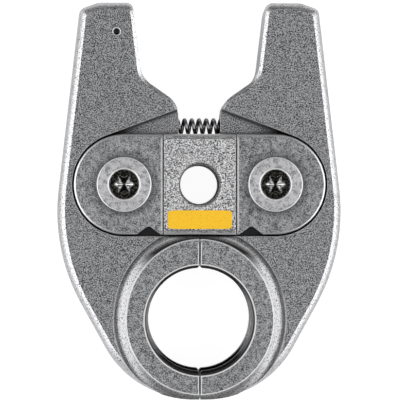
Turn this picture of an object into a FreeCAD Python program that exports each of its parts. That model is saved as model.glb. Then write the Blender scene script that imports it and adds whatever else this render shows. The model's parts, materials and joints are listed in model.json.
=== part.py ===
import FreeCAD, Part
import math
import os

# Press fitting jaw lying flat on its back, in millimetres.
# Origin: centre of the bore for the tool's pin, at half the jaw's thickness.
# X runs across the jaw, Y from the press ring towards the driven arms, Z is up.

# Places of the three bores
pivot_spacing = 48.6
ring_drop = 43.6
tool_bore_radius = 6.3
tool_bore_chamfer = 1.05

# Thicknesses, from the outside to the middle
jaw_thickness = 25.0
lever_thickness = 23.0
plate_stand = 0.5
web_thickness = 10.2
plate_side_gap = 0.15

# Outline of a lever, its widths measured from its own pivot
split_gap = 0.3
heel_from_pivot = 2.9
shoulder_from_pivot = 23.8
shoulder_drop = 21.3
arm_corner_from_pivot = 14.7
arm_corner_height = 57.0
arm_crown_from_pivot = 8.4
arm_height = 59.2
arm_top_inner = 2.6
throat_from_pivot = 5.6
throat_height = 34.3
nose_from_pivot = 17.5
nose_height = 26.0
heel_round = 32.0
shoulder_round = 62.0
arm_corner_round = 2.4
arm_crown_round = 6.0
arm_inner_round = 2.2
throat_round = 8.5
nose_round = 8.0
forging_draft = 0.6
forging_edge_slant = 25.0
forging_edge_width = 2.3
flank_bevel_width = 1.1
edge_bands = 4

# Recess in both faces of a lever, where a tie plate lies
plate_end_radius = 16.2
plate_edge_gap = 0.5
open_angle = 19.0
open_stop_angle = 20.5
tool_pin_room = 1.0

# Press ring
ring_bottom_wall = 26.1
ring_face_radius = 23.7
ring_top_rise = 2.2
cove_width = 3.1
cove_foot_slant = 14.0
cove_top_slant = 50.0
cove_bands = 3
groove_floor_width = 0.4
groove_wall_lean = 0.6
ring_edge_round = 0.4
ring_edge_bands = 3
mouth_radius = 18.1
mouth_chamfer = 0.4
lip_radius = 17.4
lip_depth = 4.0
rib_radius = 16.65
rib_flank = 1.4
rib_land = 2.4
bead_groove_radius = 18.2
bead_floor_width = 5.5
split_chamfer = 0.45
split_nick = 0.55

# Tie plates
plate_edge_round = 0.9
plate_edge_bands = 3
panel_half_width = 11.8
panel_margin = 1.4
panel_depth = 0.35
panel_corner = 1.6
panel_line_width = 0.45
panel_line_depth = 0.35
notch_foot_inner = 12.4
notch_foot_outer = 20.5
notch_top = 16.5
notch_depth = 3.1
notch_round = 1.5

# Pivot pins, washers and screws
pin_radius = 7.0
pin_running_gap = 0.04
pin_plate_gap = 0.02
pin_end_gap = 0.05
pin_chamfer = 0.6
washer_radius = 8.83
washer_thickness = 2.1
washer_stand = 0.5
washer_seat_gap = 0.12
washer_edge_chamfer = 0.4
screw_head_radius = 4.65
screw_head_gap = 0.3
screw_head_sink = 0.15
screw_shank_radius = 2.5
screw_shank_gap = 0.05
screw_length = 10.0
tapped_hole_spare = 2.0
socket_tip_radius = 2.75
socket_root_radius = 2.0
socket_depth = 1.7
socket_lobe_angle = 12.0

# Return spring between the two levers
spring_height = 19.0
spring_outer_radius = 2.75
spring_wire = 1.15
spring_turns = 11
spring_wire_sides = 6
spring_sections_a_turn = 14
spring_pocket_depth = 7.0
spring_pocket_gap = 0.3
spring_end_gap = 0.15

# Centre hole in the face of the left arm
mark_from_pivot = 2.4
mark_height = 49.0
mark_radius = 1.35
mark_bevel = 0.35
mark_depth = 1.6

# Values that follow from the sizes above
pivot_x = pivot_spacing / 2
ring_face_z = jaw_thickness / 2
lever_face_z = lever_thickness / 2
plate_face_z = lever_face_z + plate_stand
edge_slant = math.radians(forging_edge_slant)
edge_radius = forging_edge_width / (1 - math.sin(edge_slant))
edge_start_z = lever_face_z - edge_radius * math.cos(edge_slant)
web_face_z = web_thickness / 2
plate_inner_z = web_face_z + plate_side_gap
washer_face_z = plate_face_z + washer_stand
washer_seat_z = washer_face_z - washer_thickness
cove_foot = math.radians(cove_foot_slant)
cove_top = math.radians(cove_top_slant)
cove_radius = cove_width / (math.sin(cove_top) - math.sin(cove_foot))
cove_rise = cove_radius * (math.cos(cove_foot) - math.cos(cove_top))
groove_floor_z = ring_face_z - ring_edge_round - cove_rise
recess_radius = plate_end_radius + plate_edge_gap
half_split = split_gap / 2
nose_x = pivot_x - nose_from_pivot
up = FreeCAD.Vector(0, 0, 1)
cut_over = 1.0


def point(x, y, z=0.0):
    return FreeCAD.Vector(x, y, z)


def polar(centre, radius, degrees):
    """Point at a radius and an angle round a centre, in the centre's level."""
    turn = math.radians(degrees)
    return centre + point(radius * math.cos(turn), radius * math.sin(turn))


def drawn_in(corners, insets):
    """The corners after each side of the outline has moved inwards by its own distance.

    Corners run anticlockwise, and side n starts at corner n.
    """
    sides = []
    for index, corner in enumerate(corners):
        start = point(corner[0], corner[1])
        following = corners[(index + 1) % len(corners)]
        along = (point(following[0], following[1]) - start).normalize()
        sides.append((start + point(-along.y, along.x) * insets[index], along))
    moved = []
    for index, corner in enumerate(corners):
        start, along = sides[index - 1]
        other, across = sides[index]
        gap = other - start
        reach = (gap.x * across.y - gap.y * across.x) / (along.x * across.y - along.y * across.x)
        meeting = start + along * reach
        moved.append((meeting.x, meeting.y, corner[2]))
    return moved


def rounded_outline(corners, z=0.0):
    """Closed wire through corners (x, y, radius), each rounded by its own tangent arc."""
    places = [point(x, y, z) for x, y, radius in corners]
    stretches = []
    for index, here in enumerate(places):
        radius = corners[index][2]
        if radius <= 0:
            stretches.append((here, None, here))
            continue
        back = (places[index - 1] - here).normalize()
        ahead = (places[(index + 1) % len(places)] - here).normalize()
        half = math.acos(back.dot(ahead)) / 2
        reach = radius / math.tan(half)
        middle = (back + ahead).normalize() * (radius / math.sin(half) - radius)
        stretches.append((here + back * reach, here + middle, here + ahead * reach))
    edges = []
    for index, (first, middle, last) in enumerate(stretches):
        if middle is not None:
            edges.append(Part.Arc(first, middle, last).toShape())
        following = stretches[(index + 1) % len(stretches)][0]
        edges.append(Part.LineSegment(last, following).toShape())
    return Part.Wire(edges)


def prism(wire, bottom, top):
    """Solid between two levels with the outline of a wire drawn at level 0."""
    face = Part.Face(wire)
    face.translate(point(0, 0, bottom))
    return face.extrude(point(0, 0, top - bottom))


def cylinder(radius, bottom, top, x=0.0, y=0.0):
    return Part.makeCylinder(radius, top - bottom, point(x, y, bottom), up)


def turned(profile, x=0.0, y=0.0):
    """Solid turned about a vertical axis from a closed profile of (radius, height)."""
    points = [point(radius, 0, height) for radius, height in profile]
    wire = Part.makePolygon(points + points[:1])
    solid = Part.Face(wire).revolve(point(0, 0, 0), up, 360)
    solid.translate(point(x, y))
    return solid


def flip(shape):
    """The same form on the jaw's back face."""
    return shape.mirror(point(0, 0, 0), up)


def swap_sides(shape):
    """The same form on the jaw's other side."""
    return shape.mirror(point(0, 0, 0), point(1, 0, 0))


def both_faces(shape):
    return [shape, flip(shape)]


def edges_at_level(shape, level):
    """Edges that lie wholly at one height."""
    found = []
    for edge in shape.Edges:
        box = edge.BoundBox
        if abs(box.ZMin - level) < 1e-4 and abs(box.ZMax - level) < 1e-4:
            found.append(edge)
    return found


def ring_outline(radius, level):
    """Outline round the press ring: a half circle below, and a half ellipse above that stands higher."""
    centre = point(0, -ring_drop, level)
    circle = Part.Circle(centre, up, radius)
    lower = Part.Arc(circle, math.pi, 2 * math.pi).toShape()
    ellipse = Part.Ellipse(centre + point(0, radius + ring_top_rise), centre + point(-radius, 0), centre)
    upper = Part.Arc(ellipse, -math.pi / 2, math.pi / 2).toShape()
    return Part.Wire([lower, upper])


def lever_outline(outer=0.0, flank=0.0, z=0.0):
    """Outline of the right lever: half ring, shoulder, arm, throat and nose.

    Its outer sides and the arm's flank can each be drawn in by a distance of their own.
    """
    bottom = -ring_drop - ring_bottom_wall
    corners = [
        (half_split, bottom, 0.0),
        (pivot_x - heel_from_pivot, bottom, heel_round),
        (pivot_x + shoulder_from_pivot, -shoulder_drop, shoulder_round),
        (pivot_x + arm_corner_from_pivot, arm_corner_height, arm_corner_round),
        (pivot_x + arm_crown_from_pivot, arm_height, arm_crown_round),
        (pivot_x - arm_top_inner, arm_height, arm_inner_round),
        (pivot_x - throat_from_pivot, throat_height, throat_round),
        (nose_x, nose_height, nose_round),
        (nose_x, 0.0, 0.0),
        (half_split, 0.0, 0.0),
    ]
    insets = [outer] * 5 + [flank] * 2 + [0.0] * 3
    return rounded_outline(drawn_in(corners, insets), z)


def forged_blank():
    """Forging of the lever, drafted both ways from its parting at half thickness.

    Its outer edges are round and wide, and their arc leaves the face at a slant and ends upright. The flank has
    a plain bevel, which is as high as the last band of that arc.
    """
    sections = [lever_outline()]
    for index in range(edge_bands + 1):
        turn = math.pi / 2 - (math.pi / 2 - edge_slant) * index / edge_bands
        share = (1 - math.sin(turn)) / (1 - math.sin(edge_slant))
        outer = forging_draft + forging_edge_width * share
        level = edge_start_z + edge_radius * math.cos(turn)
        flank = flank_bevel_width if index == edge_bands else 0.0
        sections.append(lever_outline(outer, flank, level))
    half = Part.makeLoft(sections, True, True)
    return half.fuse(flip(half))


def plate_recess():
    """Space in a lever's face for the tie plate, from closed to wide open."""
    pivot = point(pivot_x, 0)
    tangent = 90 - open_stop_angle
    slant = math.tan(math.radians(open_stop_angle))
    top_start = polar(pivot, recess_radius, tangent)
    top_end = point(0, top_start.y + top_start.x * slant)
    bottom_start = point(0, -recess_radius)
    bottom_end = point(pivot_x, -recess_radius)
    arc = Part.Arc(bottom_end, polar(pivot, recess_radius, 0), top_start).toShape()
    edges = [
        Part.LineSegment(bottom_start, bottom_end).toShape(),
        arc,
        Part.LineSegment(top_start, top_end).toShape(),
        Part.LineSegment(top_end, bottom_start).toShape(),
    ]
    return prism(Part.Wire(edges), web_face_z, ring_face_z + cut_over)


def tool_pin_window():
    """Way of the tool's pin past the web: a slot along an arc round the lever's pivot."""
    pivot = point(pivot_x, 0)
    room = tool_bore_radius + tool_pin_room
    last = 180 - open_angle
    inner = pivot_x - room
    outer = pivot_x + room
    middle = (180 + last) / 2
    edges = [
        Part.Arc(polar(pivot, outer, 180), polar(pivot, outer, middle), polar(pivot, outer, last)).toShape(),
        Part.Arc(polar(pivot, inner, 180), polar(pivot, inner, middle), polar(pivot, inner, last)).toShape(),
        Part.Arc(point(-room, 0), point(0, -room), point(room, 0)).toShape(),
    ]
    end = polar(pivot, pivot_x, last)
    cap = end + point(room * math.sin(math.radians(last)), -room * math.cos(math.radians(last)))
    edges.append(Part.Arc(polar(pivot, outer, last), cap, polar(pivot, inner, last)).toShape())
    wire = Part.Wire(Part.__sortEdges__(edges))
    return prism(wire, -lever_face_z - cut_over, lever_face_z + cut_over)


def press_profile():
    """What the bore of the press ring takes away: mouth, lip, two ribs and the bead groove between them."""
    face = ring_face_z
    lip_end = face - mouth_chamfer - lip_depth
    land_start = lip_end - rib_flank
    land_end = land_start - rib_land
    half = [
        (mouth_radius + cut_over, face + cut_over),
        (mouth_radius, face),
        (mouth_radius - mouth_chamfer, face - mouth_chamfer),
        (lip_radius, lip_end),
        (rib_radius, land_start),
        (rib_radius, land_end),
        (bead_groove_radius, bead_floor_width / 2),
    ]
    other_half = [(radius, -height) for radius, height in reversed(half)]
    axis_ends = [(0.0, -face - cut_over), (0.0, face + cut_over)]
    return turned(half + other_half + axis_ends, 0, -ring_drop)


def collar_flank():
    """Points (radius, level) up the collar's flank: foot, cove that steepens, rounded edge."""
    flank = [(ring_face_radius + cove_width, edge_start_z)]
    for index in range(cove_bands + 1):
        turn = cove_foot + (cove_top - cove_foot) * index / cove_bands
        radius = ring_face_radius + cove_radius * (math.sin(cove_top) - math.sin(turn))
        flank.append((radius, groove_floor_z + cove_radius * (math.cos(cove_foot) - math.cos(turn))))
    edge = ring_face_radius - ring_edge_round
    for index in range(1, ring_edge_bands + 1):
        turn = math.pi / 2 * index / ring_edge_bands
        rise = ring_edge_round * (math.sin(turn) - 1)
        flank.append((edge + ring_edge_round * math.cos(turn), ring_face_z + rise))
    return flank


def raised_ring():
    """Raised collar of the press ring, cut off in line with the forging's drafted side."""
    collar = Part.makeLoft([ring_outline(radius, level) for radius, level in collar_flank()], True, True)
    return collar.common(prism(lever_outline(forging_draft), edge_start_z, ring_face_z + cut_over))


def ring_groove():
    """Groove round the collar, with a steep outer wall."""
    low = ring_face_radius + cove_width + groove_floor_width
    rise = ring_face_z + cut_over - groove_floor_z
    lean = groove_wall_lean * rise / (lever_face_z - groove_floor_z)
    outlines = [ring_outline(low, groove_floor_z), ring_outline(low + lean, groove_floor_z + rise)]
    return Part.makeLoft(outlines, True, True)


def split_bevel():
    """Small bevel along the parting of the two halves, in the ring's face."""
    wide = half_split + split_chamfer + cut_over
    corners = [
        point(-wide, 0, ring_face_z + cut_over),
        point(wide, 0, ring_face_z + cut_over),
        point(0, 0, ring_face_z - half_split - split_chamfer),
    ]
    wire = Part.makePolygon(corners + corners[:1])
    bevel = Part.Face(wire).extrude(point(0, ring_bottom_wall * 2, 0))
    bevel.translate(point(0, -ring_drop - ring_bottom_wall - cut_over, 0))
    return bevel


def split_nick_cut(y):
    """Small nick in the edges of the two halves where their parting runs out into the ring's bore."""
    reach = half_split + split_nick
    corners = [point(reach, y), point(0, y + reach), point(-reach, y), point(0, y - reach)]
    return prism(Part.makePolygon(corners + corners[:1]), -ring_face_z - cut_over, ring_face_z + cut_over)


def spring_pocket():
    """Blind hole in the nose that holds one end of the return spring."""
    radius = spring_outer_radius + spring_pocket_gap
    start = point(nose_x - cut_over, spring_height)
    return Part.makeCylinder(radius, spring_pocket_depth + cut_over, start, point(1, 0, 0))


def jaw_lever():
    """Right lever with its half of the press ring, in one forging."""
    body = forged_blank()
    body = body.cut(both_faces(ring_groove()))
    body = body.fuse(both_faces(raised_ring()))
    cuts = both_faces(plate_recess())
    cuts += both_faces(split_bevel())
    cuts.append(tool_pin_window())
    cuts.append(press_profile())
    cuts.append(split_nick_cut(rib_radius - ring_drop))
    cuts.append(split_nick_cut(-rib_radius - ring_drop))
    cuts.append(cylinder(pin_radius + pin_running_gap, -ring_face_z, ring_face_z, pivot_x))
    cuts.append(spring_pocket())
    return body.cut(cuts).removeSplitter()


def centre_mark():
    """Small drilled hole in the face of the left arm, with a pointed bottom and a bevelled mouth."""
    hole = mark_radius - mark_bevel
    profile = [
        (0.0, lever_face_z - mark_depth - hole / 2),
        (hole, lever_face_z - mark_depth),
        (hole, lever_face_z - mark_bevel),
        (mark_radius, lever_face_z),
        (mark_radius, lever_face_z + cut_over),
        (0.0, lever_face_z + cut_over),
    ]
    return turned(profile, -pivot_x - mark_from_pivot, mark_height)


def plate_outline(inset, z):
    """Long outline with a full round end about each pivot, drawn in by a distance."""
    r = plate_end_radius - inset
    x = pivot_x
    edges = [
        Part.LineSegment(point(-x, r, z), point(x, r, z)).toShape(),
        Part.Arc(point(x, r, z), point(x + r, 0, z), point(x, -r, z)).toShape(),
        Part.LineSegment(point(x, -r, z), point(-x, -r, z)).toShape(),
        Part.Arc(point(-x, -r, z), point(-x - r, 0, z), point(-x, r, z)).toShape(),
    ]
    return Part.Wire(edges)


def plate_blank():
    """Plate before its bores and cuts, with the edge of its outer face rounded."""
    sections = [plate_outline(0, plate_inner_z)]
    for index in range(plate_edge_bands + 1):
        turn = math.pi / 2 * index / plate_edge_bands
        level = plate_face_z - plate_edge_round * (1 - math.sin(turn))
        sections.append(plate_outline(plate_edge_round * (1 - math.cos(turn)), level))
    return Part.makeLoft(sections, True, True)


def edge_notch():
    """Relief in the plate's lower edge: the middle of that edge is left as the closing stop."""
    low = -plate_end_radius
    corners = [
        (notch_foot_outer, low, 0.0),
        (notch_top, low + notch_depth, notch_round),
        (notch_foot_inner, low, 0.0),
        (notch_foot_inner, low - cut_over, 0.0),
        (notch_foot_outer, low - cut_over, 0.0),
    ]
    return prism(rounded_outline(corners), plate_inner_z - cut_over, plate_face_z + cut_over)


def panel():
    """Shallow rounded field in the middle of the plate's face, kept in its forged state."""
    w = panel_half_width
    h = plate_end_radius - panel_margin
    corners = [(w, h, panel_corner), (-w, h, panel_corner), (-w, -h, panel_corner), (w, -h, panel_corner)]
    return prism(rounded_outline(corners), plate_face_z - panel_depth, plate_face_z + cut_over)


def panel_line():
    """Fine groove that parts the field from the ground end of the plate."""
    half = panel_line_width / 2
    depth = plate_face_z - panel_line_depth - panel_depth
    return Part.makeBox(
        panel_line_width, plate_end_radius * 2 + cut_over, plate_face_z + cut_over - depth,
        point(panel_half_width - half, -plate_end_radius - cut_over / 2, depth),
    )


def tie_plate():
    """Front tie plate with its two pivot bores, washer seats and the bore for the tool's pin."""
    cone = tool_bore_radius + tool_bore_chamfer
    bore = [
        (0.0, plate_inner_z - cut_over),
        (tool_bore_radius, plate_inner_z - cut_over),
        (tool_bore_radius, plate_face_z - panel_depth - tool_bore_chamfer),
        (cone, plate_face_z - panel_depth),
        (cone, plate_face_z + cut_over),
        (0.0, plate_face_z + cut_over),
    ]
    cuts = [panel(), turned(bore)]
    for side in (panel_line(), edge_notch()):
        cuts += [side, swap_sides(side)]
    for x in (-pivot_x, pivot_x):
        cuts.append(cylinder(pin_radius + pin_plate_gap, plate_inner_z - cut_over, plate_face_z, x))
        cuts.append(cylinder(washer_radius + washer_seat_gap, washer_seat_z, plate_face_z + cut_over, x))
    return plate_blank().cut(cuts).removeSplitter()


def pivot_pin(x):
    """Pivot pin with a chamfer and a tapped hole at each end."""
    end = washer_seat_z - pin_end_gap
    radius = pin_radius
    profile = [
        (0.0, 0.0),
        (radius, 0.0),
        (radius, end - pin_chamfer),
        (radius - pin_chamfer, end),
        (0.0, end),
    ]
    half = turned(profile, x)
    pin = half.fuse(flip(half))
    bottom = washer_face_z - screw_head_sink - screw_length - tapped_hole_spare
    hole = cylinder(screw_shank_radius + screw_shank_gap, bottom, end + cut_over, x)
    return pin.cut(both_faces(hole)).removeSplitter()


def washer(x):
    """Retaining washer, countersunk for the screw's head, with its outer edge bevelled."""
    top = washer_face_z
    ring = cylinder(washer_radius, washer_seat_z, top, x)
    ring = ring.makeChamfer(washer_edge_chamfer, edges_at_level(ring, top))
    hole = screw_shank_radius + screw_head_gap
    mouth = screw_head_radius + screw_head_gap + screw_head_sink
    seat = [
        (0.0, washer_seat_z - cut_over),
        (hole, washer_seat_z - cut_over),
        (hole, top - mouth + hole),
        (mouth + cut_over, top + cut_over),
        (0.0, top + cut_over),
    ]
    return ring.cut(turned(seat, x))


def lobed_socket(x, top):
    """Six-lobed driving socket: flat tips, and walls that meet in a hollow between two lobes."""
    centre = point(x, 0, top - socket_depth)
    corners = []
    for index in range(6):
        angle = index * 60
        corners.append(polar(centre, socket_tip_radius, angle - socket_lobe_angle))
        corners.append(polar(centre, socket_tip_radius, angle + socket_lobe_angle))
        corners.append(polar(centre, socket_root_radius, angle + 30))
    face = Part.Face(Part.makePolygon(corners + corners[:1]))
    return face.extrude(point(0, 0, socket_depth + cut_over))


def screw(x):
    """Countersunk screw with a six-lobed socket."""
    top = washer_face_z - screw_head_sink
    tip = top - screw_length
    profile = [
        (0.0, tip),
        (screw_shank_radius, tip),
        (screw_shank_radius, top - screw_head_radius + screw_shank_radius),
        (screw_head_radius, top),
        (0.0, top),
    ]
    return turned(profile, x).cut(lobed_socket(x, top))


def spring_section(turn, length):
    """Section across the spring's wire after a number of turns, with few sides on so thin a wire."""
    angle = 2 * math.pi * turn
    coil_radius = spring_outer_radius - spring_wire / 2
    outward = point(0, math.cos(angle), math.sin(angle))
    around = point(0, -math.sin(angle), math.cos(angle)) * (2 * math.pi * coil_radius)
    along = (around + point(length / spring_turns, 0)).normalize()
    across = along.cross(outward)
    centre = point(length * (turn / spring_turns - 0.5), spring_height) + outward * coil_radius
    corners = []
    for index in range(spring_wire_sides):
        round_wire = 2 * math.pi * index / spring_wire_sides
        reach = outward * math.cos(round_wire) + across * math.sin(round_wire)
        corners.append(centre + reach * (spring_wire / 2))
    return Part.makePolygon(corners + corners[:1])


def return_spring():
    """Wire coiled along X between the blind holes of the two noses."""
    length = 2 * (nose_x + spring_pocket_depth - spring_end_gap) - spring_wire
    count = spring_turns * spring_sections_a_turn
    sections = [spring_section(index / spring_sections_a_turn, length) for index in range(count + 1)]
    return Part.makeLoft(sections, True, True)


def export(name, shape):
    if len(shape.Solids) != 1 or not shape.isValid():
        raise ValueError(name + " isn't one sound solid")
    solid = shape.Solids[0]
    solid.exportStep("parts/" + name + ".step")


os.makedirs("parts", exist_ok=True)

right_lever = jaw_lever()
export("right_jaw_lever", right_lever)
export("left_jaw_lever", swap_sides(right_lever).cut(centre_mark()))

front_plate = tie_plate()
export("front_tie_plate", front_plate)
export("back_tie_plate", flip(front_plate))

for side, x in (("left", -pivot_x), ("right", pivot_x)):
    export(side + "_pivot_pin", pivot_pin(x))
    side_washer = washer(x)
    side_screw = screw(x)
    export("front_" + side + "_washer", side_washer)
    export("back_" + side + "_washer", flip(side_washer))
    export("front_" + side + "_screw", side_screw)
    export("back_" + side + "_screw", flip(side_screw))

export("return_spring", return_spring())
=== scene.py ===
import json
import math

import bmesh
import bpy
import numpy as np
from mathutils import Matrix, Vector


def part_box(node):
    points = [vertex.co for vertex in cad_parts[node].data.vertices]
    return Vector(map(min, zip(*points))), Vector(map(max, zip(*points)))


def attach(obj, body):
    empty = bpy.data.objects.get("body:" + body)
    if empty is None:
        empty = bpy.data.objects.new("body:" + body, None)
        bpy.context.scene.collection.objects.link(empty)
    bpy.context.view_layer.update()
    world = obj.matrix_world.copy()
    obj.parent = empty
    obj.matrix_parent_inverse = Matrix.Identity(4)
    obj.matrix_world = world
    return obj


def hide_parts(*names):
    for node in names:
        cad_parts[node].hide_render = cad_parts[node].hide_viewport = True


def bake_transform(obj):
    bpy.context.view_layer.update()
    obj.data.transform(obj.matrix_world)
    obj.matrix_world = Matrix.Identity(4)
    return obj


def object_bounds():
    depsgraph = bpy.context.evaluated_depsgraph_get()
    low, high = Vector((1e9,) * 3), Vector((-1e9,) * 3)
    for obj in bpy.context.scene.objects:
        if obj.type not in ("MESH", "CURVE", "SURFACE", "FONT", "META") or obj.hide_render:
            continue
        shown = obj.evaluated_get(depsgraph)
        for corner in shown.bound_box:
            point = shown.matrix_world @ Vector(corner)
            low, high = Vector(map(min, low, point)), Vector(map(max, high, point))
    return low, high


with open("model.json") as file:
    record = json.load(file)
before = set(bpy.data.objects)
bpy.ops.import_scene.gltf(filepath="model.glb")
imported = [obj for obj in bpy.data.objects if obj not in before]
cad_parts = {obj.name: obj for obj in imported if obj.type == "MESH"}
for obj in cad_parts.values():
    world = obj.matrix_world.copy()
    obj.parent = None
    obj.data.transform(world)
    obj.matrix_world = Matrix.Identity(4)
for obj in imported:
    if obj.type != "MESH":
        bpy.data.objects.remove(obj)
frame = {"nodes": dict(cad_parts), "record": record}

bl_info = {
    "name": "Press Fitting Jaw",
    "version": (1, 0, 0),
    "blender": (4, 5, 0),
    "location": "3D View > Sidebar > Press Jaw",
    "description": "Finishes a forged press fitting jaw and sets it up for its picture",
    "category": "Object",
}

CAD_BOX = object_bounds()
MM = 0.001

LEVERS = {"left_jaw_lever": "left_lever", "right_jaw_lever": "right_lever"}
PLATES = ("front_tie_plate", "back_tie_plate")
PINS = ("left_pivot_pin", "right_pivot_pin")
CORNERS = ("front_left", "front_right", "back_left", "back_right")
SPRING = "return_spring"
FRAME_BODY = "tie_frame"

PLATE_LOW, PLATE_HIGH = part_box("front_tie_plate")
WASHER_LOW, WASHER_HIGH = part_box("front_right_washer")
SCREW_LOW, SCREW_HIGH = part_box("front_right_screw")
SPRING_LOW, SPRING_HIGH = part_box(SPRING)
PIVOT_X = (WASHER_LOW.x + WASHER_HIGH.x) / 2
WASHER_RADIUS = (WASHER_HIGH.x - WASHER_LOW.x) / 2
SCREW_RADIUS = (SCREW_HIGH.x - SCREW_LOW.x) / 2
SPRING_Y = (SPRING_LOW.y + SPRING_HIGH.y) / 2

MOUNTS = {mount["name"]: mount for mount in frame["record"]["mounts"]}
RING_X, RING_Y = MOUNTS["press_ring"]["pos_m"][:2]
RIB_RADIUS = MOUNTS["press_ring"]["dims"]["r_mm"] * MM
TOOL_BORE_RADIUS = MOUNTS["pin_bore"]["dims"]["r_mm"] * MM

# Features of the solids that the materials follow and that the frame has no name for.
LEVER_FACE_Z = 11.5 * MM
RIB_FLANK_Z = 8.1 * MM
BORE_RADIUS = RIB_RADIUS + 1.6 * MM
RING_FACE_RADIUS = 23.7 * MM
COVE_RADIUS = RING_FACE_RADIUS + 3.0 * MM
GROOVE_BRINK_RADIUS = 27.6 * MM
CENTRE_HOLE_X = PIVOT_X + 2.4 * MM
CENTRE_HOLE_Y = 49.0 * MM
CENTRE_HOLE_RADIUS = 1.0 * MM
CENTRE_HOLE_BRIM = 1.35 * MM
NOTCH_X = 16.5 * MM
# Painted shade: the recess floor at the tie plates' notches is painted black over this box.
NOTCH_SHADOW_Y = PLATE_LOW.y + 2.0 * MM
NOTCH_SHADOW_HALF_WIDTH = 5.0 * MM
NOTCH_SHADOW_HALF_HEIGHT = 2.4 * MM
PANEL_HALF_WIDTH = 11.8 * MM
PANEL_HALF_HEIGHT = 14.8 * MM
PANEL_DEPTH = 0.35 * MM


def linear(hex_colour):
    """The linear values of an sRGB hex colour such as "#8a8c8e"."""
    values = []
    for start in (1, 3, 5):
        share = int(hex_colour[start:start + 2], 16) / 255
        values.append(share / 12.92 if share <= 0.04045 else ((share + 0.055) / 1.055) ** 2.4)
    return values


def colour(name, description, hex_colour):
    return bpy.props.FloatVectorProperty(
        name=name, description=description, subtype="COLOR", size=3, min=0.0, max=1.0,
        default=linear(hex_colour),
    )


def length(name, description, millimetres):
    return bpy.props.FloatProperty(
        name=name, description=description, unit="LENGTH", min=0.0, precision=5,
        default=millimetres * MM,
    )


class PressJawFinish(bpy.types.PropertyGroup):
    """Colours of the jaw's steels and paint, and the sizes of their grain and marks."""

    forging_dark: colour("Forging, dark grains", "Dents and scale in the levers' blasted skin", "#1a1b1d")
    forging_light: colour("Forging, light grains", "Bright grains of the blasted skin", "#b8b9bb")
    # Painted highlight: sloping sides are painted lighter, standing in for the side lamps' light.
    sloping_highlight: colour("Tumbled sides", "Sloping sides of the forging, brightened by tumbling", "#cdcdcf")
    ground_dark: colour("Ground face, dark", "Stained parts of the ground faces", "#424346")
    ground_light: colour("Ground face, light", "Clean parts of the ground faces", "#b8b9ba")
    panel_dark: colour("Panel, dark grains", "Dents of the blasted panel", "#242529")
    panel_light: colour("Panel, light grains", "Bright grains of the blasted panel", "#efeff0")
    # Edge wear and painted highlight: the light steel of edges and of the painted highlight lines.
    wear_and_highlight_edge: colour("Worn edges", "Bare steel along edges", "#e2e2e3")
    # Painted shade: the near black put in gaps, holes, corners and hollows and round the washers, where shade
    # falls.
    painted_shade: colour("Grime", "Oil and grime in corners and gaps", "#161616")
    # Painted shade: the black of the press ring's bore mouth and the dark of the tool bore's chamfer.
    bore: colour("Ring's bore", "Oiled mouth of the press ring's bore", "#141415")
    # Painted highlight: the ribs are lighter where they face the left and right sides.
    rib_highlight: colour("Ring's ribs", "Ribs in the bore, polished by the sleeves that they press", "#d4d4d6")
    washer: colour("Washers", "Turned and tumbled washers", "#c8c8ca")
    washer_stain: colour("Washers, stained", "Dull patches on the washers", "#8c8c8f")
    pin: colour("Pins", "Ground and hardened pivot pins", "#9c9c9e")
    oxide: colour("Black oxide", "Black finish of the screws", "#141413")
    oxide_rubbed: colour("Rubbed oxide", "Rubbed patches of the black finish", "#45423e")
    spring: colour("Spring wire", "Drawn spring wire", "#c2c2c4")
    paint: colour("Yellow paint", "Painted bar on the front plate", "#f2bc06")
    paint_thin: colour("Thin paint", "Paint where the steel shows through", "#b98f22")
    blast_grain: length("Blast grain", "Width of one dent of the blasted skin", 0.34)
    panel_grain: length("Panel grain", "Width of one dent on the plate's panel", 0.42)
    stain_width: length("Stains", "Width of the blotches on ground faces", 1.6)
    # Real grinding and turning marks are under 0.2 mm apart, too fine for the picture's 0.32 mm a pixel, so
    # they are drawn as coarse as they need to be to show.
    grind_pitch: length("Grinding pitch", "Distance between grinding marks", 0.4)
    turning_pitch: length("Turning pitch", "Distance between turning marks on washers", 0.32)
    # Width of the rounded, lightened edges, which are partly wear and partly painted highlight.
    edge_wear: length("Edge wear", "Width of the worn edges", 0.3)
    # Painted shadow: the dark ring round each washer on the plate spreads this far.
    painted_shadow_reach: length("Grease reach", "How far grease spreads on the plate round a washer", 3.2)
    # Painted shade: the reach of the ambient occlusion that finds the gaps and holes to darken.
    painted_shade_reach: length("Grime reach", "Depth of the gaps and holes that hold grime", 4.0)
    # Painted shade: the dark lines in corners come from ambient occlusion over this reach.
    corner_reach: length("Corner reach", "Width of the dark lines in corners", 1.6)
    # Painted shadow: where the forging is painted black round the ring's top, under the tie plates' edge.
    painted_shadow_start: length("Grease start", "Where grease starts above the ring's centre in the picture", 17.5)
    painted_shadow_full: length("Grease full", "Where grease covers the steel above the ring's centre", 21.5)
    painted_shadow_core: length("Grease core", "Width of the solid grease outside the ring's face", 2.6)
    painted_shadow_fade: length("Grease fade", "Width at which the grease outside the ring's face ends", 4.4)
    flash_land: length("Flash land", "Width of the sheared band along the forging's parting", 1.8)


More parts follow.
